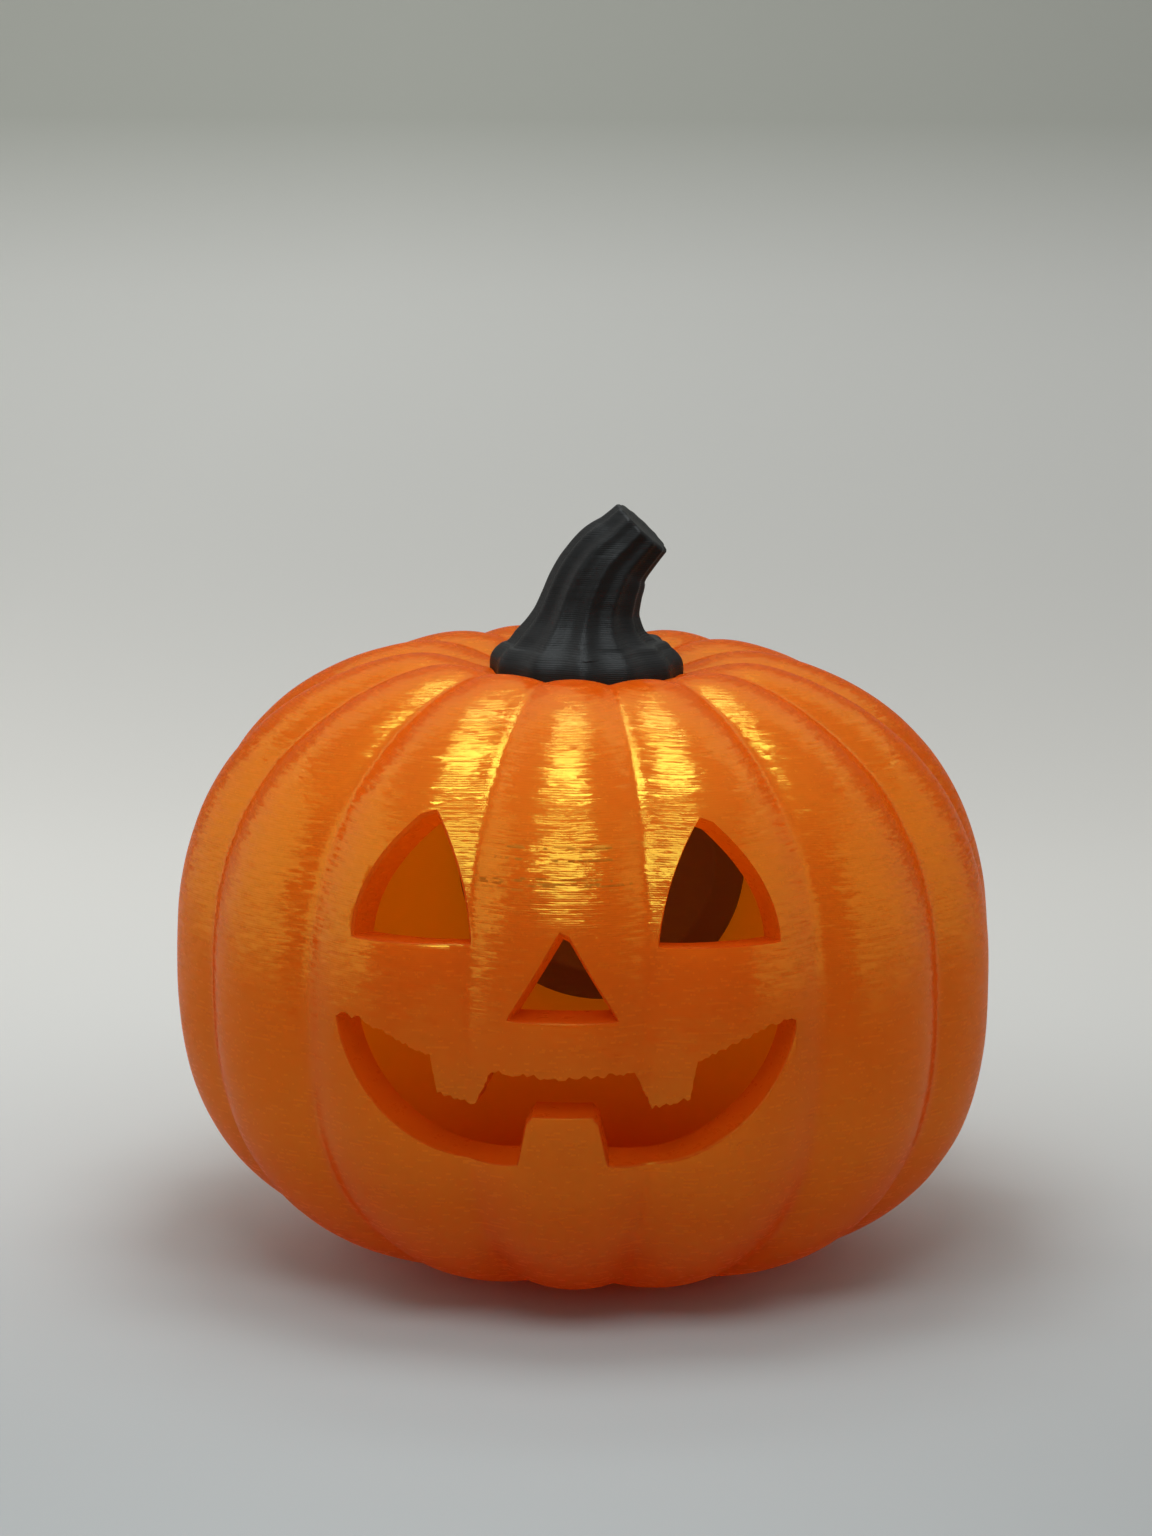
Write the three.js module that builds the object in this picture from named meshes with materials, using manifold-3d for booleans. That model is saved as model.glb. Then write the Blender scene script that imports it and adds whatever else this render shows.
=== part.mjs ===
// A carved pumpkin lantern, printed in plastic: a hollow ribbed shell with a cut face, a dark fluted
// stem that sits in a round seat on its top, and a round dark cover let into the inside of its back.
// Millimetres, +Z up. The origin is on the floor under the middle of the shell, and the face looks along -Y.

import * as THREE from 'three';
import { mergeVertices } from 'three/addons/utils/BufferGeometryUtils.js';
import Module from 'manifold-3d';

const wasm = await Module();
wasm.setup();

// The shell: half a width, the rise above and the drop below its widest level, and how square each half
// is, outwards and upwards. A square of 2 is an ellipse. Its top slopes down a little to the right.
const HALF_WIDTH = 40.75;
const RISE = 31.6;
const DROP = 31.0;
const ABOVE = { outSquare: 2.8, upSquare: 2.36 };
const BELOW = { outSquare: 2.62, upSquare: 2.62 };
const TOP_SLOPE = 0.019;
const DIMPLE_DEPTH = 3.6;
const DIMPLE_RADIUS = 13;
const FLOOR_DROP = 30.2;
const WALL = 4.6;

// The ribs, called lobes. One is nearly centred on the face: it is turned by LOBE_TURN degrees.
const LOBES = 14;
const LOBE_TURN = -0.8;
const GROOVE_DEPTH = 0.043;
const LOBE_ROUNDNESS = 0.6;
const GROOVE_FULL_RADIUS = 30;
const FADE_ABOVE = 0.9;
const FADE_BELOW = 2;
const INNER_GROOVE_SHARE = 0.5;

// How finely the shell is faceted.
const COLUMNS_PER_LOBE = 6;
const OUTER_ROWS = 30;
const INNER_COLUMNS_PER_LOBE = 4;
const INNER_ROWS = 18;

// The cut face. Sideways and upwards from the middle of the shell, as seen from straight ahead.
const EYE = {
  inner: [8.8, 9.2],
  outer: [19.85, 9.2],
  tip: [12.65, 20.35],
  tipWidth: 0.7,
  innerBulge: [9.3, 15.4],
  outerBulge: [19.4, 15.3],
};
const NOSE = { halfWidth: 5.05, bottom: 2.6, top: 10.7, tipWidth: 0.5 };
const MOUTH = {
  corner: [21.4, 1.8],
  cornerDrop: 0.5,
  lipOuter: [[19.2, 1.6], [16.9, 0.6], [14.4, -0.5], [12.5, -1.3]],
  upperTooth: [[11.8, -4.9], [9.9, -5.6], [8.2, -5.95], [6.6, -2.4]],
  lipMiddle: [[3.6, -2.5], [0, -2.75]],
  lowerControl: [[20.6, -5.6], [12.9, -12.9]],
  lowerInner: [4.3, -11.4],
  lowerToothSide: [3.45, -7.2],
  lowerToothTop: [2.8, -6.4],
};

// Each cut narrows towards a point inside the shell. Sideways, back and up from its middle.
const EYE_VANISH = [0, 24, 1];
const NOSE_VANISH = [0, -16, 3];
const MOUTH_VANISH = [0, 22, -3.5];
const CUT_OUTER_REACH = 1.25;
const CUT_INNER_REACH = 0.5;
const NOSE_INNER_REACH = 0.35;

// The stem. Each station gives its height over the seat, its lean to the right and its radius.
const STEM_STATIONS = [
  [0, 0, 9.65],
  [1.5, 0, 9.65],
  [2.4, 0, 9.0],
  [3.2, 0, 8.05],
  [4.1, 0, 6.8],
  [5.5, 0.12, 5.65],
  [7.2, 0.4, 5.05],
  [8.7, 0.85, 4.8],
  [10.2, 1.5, 4.55],
  [11.9, 2.5, 4.15],
  [13.4, 3.95, 3.65],
  [14.9, 5.35, 3.4],
];
const STEM_FLUTES = 12;
const FLUTE_DEPTH_BASE = 0.03;
const FLUTE_DEPTH_NECK = 0.085;
const FLUTE_NECK_SHARE = 0.35;
const FLUTE_ROUNDNESS = 0.8;
const STEM_COLUMNS_PER_FLUTE = 4;
const STEM_ROWS = 22;
const SEAT_HEIGHT = 27.6;
const SEAT_CUTTER_HEIGHT = 20;
const CLEARANCE = 0.3;

// The dark round cover inside the back.
const COVER_RADIUS = 15.2;
const COVER_HEIGHT = 2.8;
const COVER_THICKNESS = 1.6;
const COVER_FACE_DEPTH = 30.8;
const ROUND_SIDES = 64;

const MIDDLE_HEIGHT = FLOOR_DROP;
const BEYOND_EVERYTHING = 200;
const MERGE_DISTANCE = 1e-4;
const SURFACE_ROUNDS = 8;
const EYE_CURVE_POINTS = 8;
const MOUTH_CURVE_POINTS = 12;

// How far one lobe has swollen at a place across it, from 0 in the groove to 1 on the crest.
function lobeSwell(turn, roundness) {
  const across = turn - Math.floor(turn);
  return Math.pow(Math.max(0, Math.sin(Math.PI * across)), roundness);
}

// The factor that pulls the smooth body in to its grooves. They fade towards both poles, sooner below.
function grooveFactor(angle, radius, above, depth) {
  const turn = ((angle - THREE.MathUtils.degToRad(LOBE_TURN)) / (2 * Math.PI)) * LOBES + 0.5;
  const fade = Math.pow(Math.min(1, radius / GROOVE_FULL_RADIUS), above ? FADE_ABOVE : FADE_BELOW);
  return 1 - depth * fade * (1 - lobeSwell(turn, LOBE_ROUNDNESS));
}

// One point of the smooth profile, as its radius and its height over the widest level.
function profilePoint(latitude, inset) {
  const above = latitude >= 0;
  const { outSquare, upSquare } = above ? ABOVE : BELOW;
  const reach = (above ? RISE : DROP) - inset;
  const radius = (HALF_WIDTH - inset) * Math.pow(Math.max(0, Math.cos(latitude)), 2 / outSquare);
  const height = Math.sign(latitude) * reach * Math.pow(Math.abs(Math.sin(latitude)), 2 / upSquare);
  const dimple = above ? DIMPLE_DEPTH * Math.exp(-Math.pow(radius / DIMPLE_RADIUS, 4)) : 0;
  return new THREE.Vector2(radius, height - dimple);
}

// A closed ribbed body: a turned profile whose points are then pulled in to the grooves.
function ribbedBody(inset, columnsPerLobe, rows, grooveDepth) {
  const profile = [];
  for (let row = 0; row <= rows; row += 1) {
    const share = row / rows;
    const latitude = (share - 0.5) * Math.PI;
    const point = profilePoint(latitude, inset);
    if (row === 0 || row === rows) point.x = 0;
    profile.push(point);
  }
  const geometry = new THREE.LatheGeometry(profile, LOBES * columnsPerLobe);
  geometry.rotateX(Math.PI / 2);
  const position = geometry.attributes.position;
  for (let index = 0; index < position.count; index += 1) {
    const x = position.getX(index);
    const y = position.getY(index);
    const z = position.getZ(index);
    const radius = Math.hypot(x, y);
    const angle = Math.atan2(x, -y) + THREE.MathUtils.degToRad(LOBE_TURN);
    const factor = grooveFactor(angle, radius, z >= 0, grooveDepth);
    position.setXYZ(
      index,
      Math.sin(angle) * radius * factor,
      -Math.cos(angle) * radius * factor,
      z * factor + MIDDLE_HEIGHT,
    );
  }
  return sloped(geometry);
}

// Slopes a geometry down to the right, as the top of the shell slopes.
function sloped(geometry) {
  const position = geometry.attributes.position;
  for (let index = 0; index < position.count; index += 1) {
    position.setZ(index, position.getZ(index) - TOP_SLOPE * position.getX(index));
  }
  return geometry;
}

// Turns a geometry into a solid that can be joined and cut.
function solidOf(geometry) {
  const bare = geometry.clone();
  bare.deleteAttribute('normal');
  bare.deleteAttribute('uv');
  const merged = mergeVertices(bare, MERGE_DISTANCE);
  const mesh = new wasm.Mesh({
    numProp: 3,
    vertProperties: new Float32Array(merged.attributes.position.array),
    triVerts: new Uint32Array(merged.index.array),
  });
  return new wasm.Manifold(mesh);
}

// Turns a solid back into a geometry.
function geometryOf(solid) {
  const mesh = solid.getMesh();
  const geometry = new THREE.BufferGeometry();
  geometry.setAttribute('position', new THREE.BufferAttribute(new Float32Array(mesh.vertProperties), 3));
  geometry.setIndex(new THREE.BufferAttribute(new Uint32Array(mesh.triVerts), 1));
  geometry.computeVertexNormals();
  return geometry;
}

// The point of the outer surface that lies straight behind a point of the face as seen from ahead.
function onShell(x, height) {
  let factor = 1;
  let radius = HALF_WIDTH;
  const above = height >= 0;
  const { outSquare, upSquare } = above ? ABOVE : BELOW;
  const reach = above ? RISE : DROP;
  for (let round = 0; round < SURFACE_ROUNDS; round += 1) {
    const level = Math.abs(height / factor / reach);
    radius = HALF_WIDTH * factor * Math.pow(Math.max(0, 1 - Math.pow(level, upSquare)), 1 / outSquare);
    const angle = Math.asin(x / radius);
    factor = grooveFactor(angle, radius, above, GROOVE_DEPTH);
  }
  return new THREE.Vector3(x, -Math.sqrt(radius * radius - x * x), height + MIDDLE_HEIGHT);
}

// A cutter for one opening: its outline is laid on the shell, and narrows towards its vanishing point.
function faceCutter(shape, vanish, innerReach, curvePoints) {
  const options = { depth: 1, steps: 1, bevelEnabled: false, curveSegments: curvePoints };
  const geometry = new THREE.ExtrudeGeometry(shape, options);
  const goal = new THREE.Vector3(vanish[0], vanish[1], vanish[2] + MIDDLE_HEIGHT);
  const position = geometry.attributes.position;
  for (let index = 0; index < position.count; index += 1) {
    const surface = onShell(position.getX(index), position.getY(index));
    const reach = position.getZ(index) > 0.5 ? CUT_OUTER_REACH : innerReach;
    const place = goal.clone().lerp(surface, reach);
    position.setXYZ(index, place.x, place.y, place.z);
  }
  return solidOf(geometry);
}

// A triangular eye with curved sides and a flat bottom. side is 1 on the right and -1 on the left.
function eyeShape(side) {
  const at = (point, shift = 0) => [side * (point[0] + shift), point[1]];
  const half = EYE.tipWidth / 2;
  const shape = new THREE.Shape();
  shape.moveTo(...at(EYE.inner));
  shape.lineTo(...at([(EYE.inner[0] + EYE.outer[0]) / 2, EYE.inner[1]]));
  shape.lineTo(...at(EYE.outer));
  shape.quadraticCurveTo(...at(EYE.outerBulge), ...at(EYE.tip, half));
  shape.lineTo(...at(EYE.tip, -half));
  shape.quadraticCurveTo(...at(EYE.innerBulge), ...at(EYE.inner));
  return shape;
}

// A plain triangular nose with a blunt tip.
function noseShape() {
  const shape = new THREE.Shape();
  shape.moveTo(-NOSE.halfWidth, NOSE.bottom);
  shape.lineTo(0, NOSE.bottom);
  shape.lineTo(NOSE.halfWidth, NOSE.bottom);
  shape.lineTo(NOSE.tipWidth / 2, NOSE.top);
  shape.lineTo(-NOSE.tipWidth / 2, NOSE.top);
  shape.closePath();
  return shape;
}

// A wide smile with two teeth above and one below.
function mouthShape() {
  const [cornerX, cornerZ] = MOUTH.corner;
  const upper = [...MOUTH.lipOuter, ...MOUTH.upperTooth, ...MOUTH.lipMiddle];
  const mirrored = upper.slice(0, -1).reverse();
  const [firstControl, secondControl] = MOUTH.lowerControl;
  const [innerX, innerZ] = MOUTH.lowerInner;
  const [sideX, sideZ] = MOUTH.lowerToothSide;
  const [topX, topZ] = MOUTH.lowerToothTop;
  const shape = new THREE.Shape();
  shape.moveTo(cornerX, cornerZ);
  for (const [x, z] of upper) shape.lineTo(x, z);
  for (const [x, z] of mirrored) shape.lineTo(-x, z);
  shape.lineTo(-cornerX, cornerZ);
  shape.lineTo(-cornerX, cornerZ - MOUTH.cornerDrop);
  shape.bezierCurveTo(
    -firstControl[0], firstControl[1],
    -secondControl[0], secondControl[1],
    -innerX, innerZ,
  );
  shape.lineTo(-sideX, sideZ);
  shape.lineTo(-topX, topZ);
  shape.lineTo(topX, topZ);
  shape.lineTo(sideX, sideZ);
  shape.lineTo(innerX, innerZ);
  shape.bezierCurveTo(
    secondControl[0], secondControl[1],
    firstControl[0], firstControl[1],
    cornerX, cornerZ - MOUTH.cornerDrop,
  );
  shape.closePath();
  return shape;
}

// A round cutter that stands upright over the seat of the stem.
function seatCutter() {
  const radius = STEM_STATIONS[0][2] + CLEARANCE;
  const geometry = new THREE.CylinderGeometry(radius, radius, SEAT_CUTTER_HEIGHT, ROUND_SIDES);
  geometry.rotateX(Math.PI / 2);
  geometry.translate(0, 0, MIDDLE_HEIGHT + SEAT_HEIGHT + SEAT_CUTTER_HEIGHT / 2);
  return solidOf(sloped(geometry));
}

// A round body that lies along Y, between two depths behind the middle of the shell.
function backRound(radius, nearDepth, farDepth) {
  const length = farDepth - nearDepth;
  const geometry = new THREE.CylinderGeometry(radius, radius, length, ROUND_SIDES);
  geometry.translate(0, nearDepth + length / 2, MIDDLE_HEIGHT + COVER_HEIGHT);
  return geometry;
}

// Everything below the floor, to give the shell its flat foot.
function floorCutter() {
  const size = BEYOND_EVERYTHING;
  const geometry = new THREE.BoxGeometry(size, size, size);
  geometry.translate(0, 0, -size / 2);
  return solidOf(geometry);
}

function buildShell() {
  const outer = solidOf(ribbedBody(0, COLUMNS_PER_LOBE, OUTER_ROWS, GROOVE_DEPTH));
  const innerDepth = GROOVE_DEPTH * INNER_GROOVE_SHARE;
  const inner = solidOf(ribbedBody(WALL, INNER_COLUMNS_PER_LOBE, INNER_ROWS, innerDepth));
  const coverSeat = backRound(
    COVER_RADIUS + CLEARANCE,
    COVER_FACE_DEPTH - WALL,
    COVER_FACE_DEPTH + COVER_THICKNESS + CLEARANCE,
  );
  const cutters = [
    floorCutter(),
    inner,
    seatCutter(),
    solidOf(coverSeat),
    faceCutter(eyeShape(1), EYE_VANISH, CUT_INNER_REACH, EYE_CURVE_POINTS),
    faceCutter(eyeShape(-1), EYE_VANISH, CUT_INNER_REACH, EYE_CURVE_POINTS),
    faceCutter(noseShape(), NOSE_VANISH, NOSE_INNER_REACH, 1),
    faceCutter(mouthShape(), MOUTH_VANISH, CUT_INNER_REACH, MOUTH_CURVE_POINTS),
  ];
  let shell = outer;
  for (const cutter of cutters) shell = shell.subtract(cutter);
  return geometryOf(shell);
}

// The stem: a turned fluted column, then bent along its leaning centre line.
function buildStem() {
  const line = new THREE.CatmullRomCurve3(
    STEM_STATIONS.map(([height, lean]) => new THREE.Vector3(lean, 0, height)),
  );
  const radii = new THREE.CatmullRomCurve3(
    STEM_STATIONS.map(([height, , radius]) => new THREE.Vector3(radius, 0, height)),
  );
  const profile = [new THREE.Vector2(0, 0)];
  for (let row = 0; row <= STEM_ROWS; row += 1) {
    const share = row / STEM_ROWS;
    profile.push(new THREE.Vector2(radii.getPoint(share).x, share));
  }
  profile.push(new THREE.Vector2(0, 1));
  const geometry = new THREE.LatheGeometry(profile, STEM_FLUTES * STEM_COLUMNS_PER_FLUTE);
  geometry.rotateX(Math.PI / 2);
  const position = geometry.attributes.position;
  for (let index = 0; index < position.count; index += 1) {
    const x = position.getX(index);
    const y = position.getY(index);
    const share = Math.min(1, Math.max(0, position.getZ(index)));
    const turn = (Math.atan2(x, -y) / (2 * Math.PI)) * STEM_FLUTES;
    const deepening = Math.min(1, share / FLUTE_NECK_SHARE);
    const depth = FLUTE_DEPTH_BASE + (FLUTE_DEPTH_NECK - FLUTE_DEPTH_BASE) * deepening;
    const flute = 1 - depth * (1 - lobeSwell(turn, FLUTE_ROUNDNESS));
    const centre = line.getPoint(share);
    const heading = line.getTangent(share);
    const tilt = Math.atan2(heading.x, heading.z);
    const across = x * flute;
    position.setXYZ(
      index,
      centre.x + across * Math.cos(tilt),
      y * flute,
      centre.z - across * Math.sin(tilt) + MIDDLE_HEIGHT + SEAT_HEIGHT + CLEARANCE,
    );
  }
  return geometryOf(solidOf(sloped(geometry)));
}

function buildCover() {
  return geometryOf(solidOf(backRound(COVER_RADIUS, COVER_FACE_DEPTH, COVER_FACE_DEPTH + COVER_THICKNESS)));
}

function namedMesh(name, geometry, color, roughness) {
  const material = new THREE.MeshStandardMaterial({ color, roughness, metalness: 0 });
  const mesh = new THREE.Mesh(geometry, material);
  mesh.name = name;
  return mesh;
}

const lantern = new THREE.Group();
lantern.add(
  namedMesh('shell', buildShell(), 0xd9751c, 0.4),
  namedMesh('stem', buildStem(), 0x232222, 0.5),
  namedMesh('back_cover', buildCover(), 0x2a1a14, 0.6),
);

export default lantern;
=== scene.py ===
# %% [markdown]
# # A carved pumpkin lantern in printed plastic
# The real object is a hollow lantern that was printed layer by layer: a ribbed orange shell with a cut
# face, a black fluted stem on top, and a dark round cover on the inside of its back wall. This lesson
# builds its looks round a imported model, which already has the right size and place for each piece.

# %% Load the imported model
import math
import random

import bmesh
import bpy
from mathutils import Matrix, Vector, noise


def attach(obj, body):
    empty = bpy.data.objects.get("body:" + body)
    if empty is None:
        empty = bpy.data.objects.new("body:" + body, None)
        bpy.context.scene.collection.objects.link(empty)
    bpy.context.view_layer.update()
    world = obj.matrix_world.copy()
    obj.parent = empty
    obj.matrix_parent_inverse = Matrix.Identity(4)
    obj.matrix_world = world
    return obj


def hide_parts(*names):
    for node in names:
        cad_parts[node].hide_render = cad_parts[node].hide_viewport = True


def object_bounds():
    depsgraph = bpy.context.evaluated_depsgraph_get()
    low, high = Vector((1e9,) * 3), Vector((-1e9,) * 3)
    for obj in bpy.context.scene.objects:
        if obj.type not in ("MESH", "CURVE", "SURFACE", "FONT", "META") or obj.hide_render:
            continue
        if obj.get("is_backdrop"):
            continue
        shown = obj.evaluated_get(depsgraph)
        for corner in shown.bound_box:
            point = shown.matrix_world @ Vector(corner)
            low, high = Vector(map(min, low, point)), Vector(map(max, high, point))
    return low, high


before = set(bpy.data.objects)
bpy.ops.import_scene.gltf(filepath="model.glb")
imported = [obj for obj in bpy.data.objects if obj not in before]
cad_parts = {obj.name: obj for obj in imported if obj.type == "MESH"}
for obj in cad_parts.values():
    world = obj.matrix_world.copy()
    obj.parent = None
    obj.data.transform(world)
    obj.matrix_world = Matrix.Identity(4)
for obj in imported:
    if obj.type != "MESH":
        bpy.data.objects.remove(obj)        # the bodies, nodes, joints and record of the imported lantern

MM = 0.001
cad_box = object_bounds()
cad_size = cad_box[1] - cad_box[0]
print("nodes", sorted(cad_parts))
print("model size in mm", [round(side / MM, 2) for side in cad_size])

# %% [markdown]
# ## The camera
# The lantern was photographed from the front, a little from above and from half a metre away. The camera
# could be placed by eye, but a calculation keeps the shell exactly where it is in the picture. The camera
# first looks straight at the middle of the shell. Then it is rolled, and turned until that middle lies on
# its own pixel.

# %% Place the camera
middle = Vector((0, 0, 30.2 * MM))
camera_azimuth = math.radians(3.0)
camera_elevation = math.radians(13)
camera_distance = 500 * MM
camera_roll = math.radians(0.2)
nearest_seen = 0.05
image_width, image_height = 1152, 1536
middle_pixel = (585.5, 951.3)
focal_pixels = 5000

toward_camera = Vector((
    math.sin(camera_azimuth) * math.cos(camera_elevation),
    -math.cos(camera_azimuth) * math.cos(camera_elevation),
    math.sin(camera_elevation),
))
camera_data = bpy.data.cameras.new("camera")
camera_data.sensor_fit = "HORIZONTAL"
camera_data.sensor_width = 36
camera_data.lens = camera_data.sensor_width * focal_pixels / image_width
camera_data.clip_start = nearest_seen
camera = bpy.data.objects.new("camera", camera_data)
bpy.context.scene.collection.objects.link(camera)
bpy.context.scene.camera = camera

straight_ahead = Vector((0, 0, -1))
ray_to_middle = Vector((
    middle_pixel[0] - image_width / 2,
    image_height / 2 - middle_pixel[1],
    -focal_pixels,
)).normalized()
looking = (-toward_camera).to_track_quat("-Z", "Y").to_matrix()
rolling = Matrix.Rotation(camera_roll, 3, "Z")
turning = ray_to_middle.rotation_difference(straight_ahead).to_matrix()
camera_turn = (looking @ rolling @ turning).to_4x4()
camera.matrix_world = Matrix.Translation(middle + toward_camera * camera_distance) @ camera_turn
print("camera at", [round(value, 4) for value in camera.matrix_world.translation])

# %% [markdown]
# ## Three helpers for shapes
# Every piece below is a bmesh that becomes an object, and the shell is cut with several others. The object
# stays at the origin, and its place is in its mesh, so a pattern on its coordinates can't slide.

# %% Make an object from a bmesh
def new_object(name, bm, *materials):
    """Writes a bmesh into a new mesh object in the scene, with smooth faces."""
    mesh = bpy.data.meshes.new(name)
    bm.to_mesh(mesh)
    bm.free()
    mesh.shade_smooth()
    for material in materials:
        mesh.materials.append(material)
    made = bpy.data.objects.new(name, mesh)
    bpy.context.scene.collection.objects.link(made)
    return made


# %% Loft a solid through rings
def lofted(rings):
    """A closed solid through rings of equally many places: a face that is extruded to each next ring."""
    bm = bmesh.new()
    number = bm.verts.layers.int.new("number")
    corners = [bm.verts.new(place) for place in rings[0]]
    for index, corner in enumerate(corners):
        corner[number] = index
    cap = foot = bm.faces.new(corners)
    for places in rings[1:]:
        made = bmesh.ops.extrude_face_region(bm, geom=[cap])["geom"]
        if cap is not foot:
            bmesh.ops.delete(bm, geom=[cap], context="FACES_ONLY")
        cap = next(item for item in made if isinstance(item, bmesh.types.BMFace))
        for vertex in cap.verts:
            vertex.co = places[vertex[number]]
    bmesh.ops.recalc_face_normals(bm, faces=bm.faces[:])
    return bm


# %% Cut one object with others
def cut_with(body, cutters):
    """Takes the cutters away from the body, writes the result into its mesh, and deletes the cutters."""
    for cutter in cutters:
        cut = body.modifiers.new("cut", "BOOLEAN")
        cut.operation = "DIFFERENCE"
        cut.solver = "MANIFOLD"
        cut.material_mode = "TRANSFER"
        cut.object = cutter
    depsgraph = bpy.context.evaluated_depsgraph_get()
    result = bpy.data.meshes.new_from_object(body.evaluated_get(depsgraph))
    body.modifiers.clear()
    body.data = result
    for cutter in cutters:
        bpy.data.meshes.remove(cutter.data)


# %% [markdown]
# ## Small helpers for nodes
# A material is a tree of nodes, and adding them one by one takes many lines that are all alike. These
# functions each add one kind of node, join it up, and hand back the output that the next step needs.

# %% Node helpers
def new_material(name):
    """Makes a material, and returns it with its node tree and its Principled shader."""
    material = bpy.data.materials.new(name)
    material.use_nodes = True
    return material, material.node_tree, material.node_tree.nodes["Principled BSDF"]


def set_inputs(node, values):
    """Sets inputs of a node by their names."""
    for name, value in values.items():
        node.inputs[name].default_value = value


def add_node(tree, kind, values=(), **settings):
    """Adds a shader node, sets its properties, and fills its first inputs with numbers or links."""
    node = tree.nodes.new(kind)
    for name, value in settings.items():
        setattr(node, name, value)
    for socket, value in zip(node.inputs, values):
        if isinstance(value, bpy.types.NodeSocket):
            tree.links.new(value, socket)
        else:
            socket.default_value = value
    return node


def calculate(tree, operation, *values):
    """Adds a Math node and returns its result."""
    return add_node(tree, "ShaderNodeMath", values, operation=operation).outputs[0]


def combine(tree, operation, *values):
    """Adds a Vector Math node and returns its vector."""
    return add_node(tree, "ShaderNodeVectorMath", values, operation=operation).outputs["Vector"]


def scaled(tree, vector, factor):
    """Adds a Vector Math node that makes a vector longer by a linked factor."""
    node = add_node(tree, "ShaderNodeVectorMath", [vector], operation="SCALE")
    tree.links.new(factor, node.inputs["Scale"])
    return node.outputs["Vector"]


def ramp(tree, value, limits, **settings):
    """Adds a Map Range node. Its limits are the two values it lies between and the two it gives there."""
    return add_node(tree, "ShaderNodeMapRange", [value, *limits], **settings).outputs["Result"]


def mixed(tree, factor, first, second):
    """Adds a Mix node from a first to a second colour. Each colour is three numbers or a link."""
    node = add_node(tree, "ShaderNodeMix", data_type="RGBA")
    tree.links.new(factor, node.inputs["Factor"])
    for name, colour in (("A", first), ("B", second)):
        if isinstance(colour, bpy.types.NodeSocket):
            tree.links.new(colour, node.inputs[name])
        else:
            node.inputs[name].default_value = (*colour, 1)
    return node.outputs["Result"]


def split(tree, vector):
    """Adds a Separate XYZ node and returns its three numbers."""
    return add_node(tree, "ShaderNodeSeparateXYZ", [vector]).outputs


def object_place(tree):
    """Adds a Texture Coordinate node and returns the place in the object."""
    return tree.nodes.new("ShaderNodeTexCoord").outputs["Object"]


def noise_at(tree, place, scale, detail, roughness=0.5):
    """Adds a noise on a place, and returns its value and its colour."""
    node = add_node(tree, "ShaderNodeTexNoise", [place], noise_dimensions="3D")
    set_inputs(node, {"Scale": scale, "Detail": detail, "Roughness": roughness})
    return node.outputs["Fac"], node.outputs["Color"]


# %% [markdown]
# ## A group for printed layers
# A printer lays the plastic down as flat beads, one on another, so both the shell and the stem are covered
# in fine level lines. Real relief would need far too many faces, and a Bump node blurs lines that are as
# fine as a pixel. So a node group works out where in its bead each point lies, and tilts the normal up or
# down by that much. Noise that is drawn out along the bead adds a lean of its own to each short length of
# it, up or down and to the side. Such lengths catch the light one by one, as a broken glint.
#
# The group also puts out four numbers for the materials: Bead differs along each bead, Valley is high
# between two beads, where the orange paints shade, Cloud changes slowly, and Gap marks the rare short
# lengths where plastic is missing, whose dark colour is painted shade.

# %% Build the printed layers group
layer_height = 0.2 * MM
upwards = (0, 0, 1)
half_grey = (0.5, 0.5, 0.5)
cloud_scale = 110
wander_scale, wander_layers = 260, 0.8
bead_step, bead_detail, bead_roughness, bead_strength = 0.8, 3, 0.7, 4
lean_strength = 1.5
ripple_scale, ripple_roughness = 170, 0.6
valley_power = 5
gap_layers = 0.6
gap_places = (0.52, 0.56, 0, 1)


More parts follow.
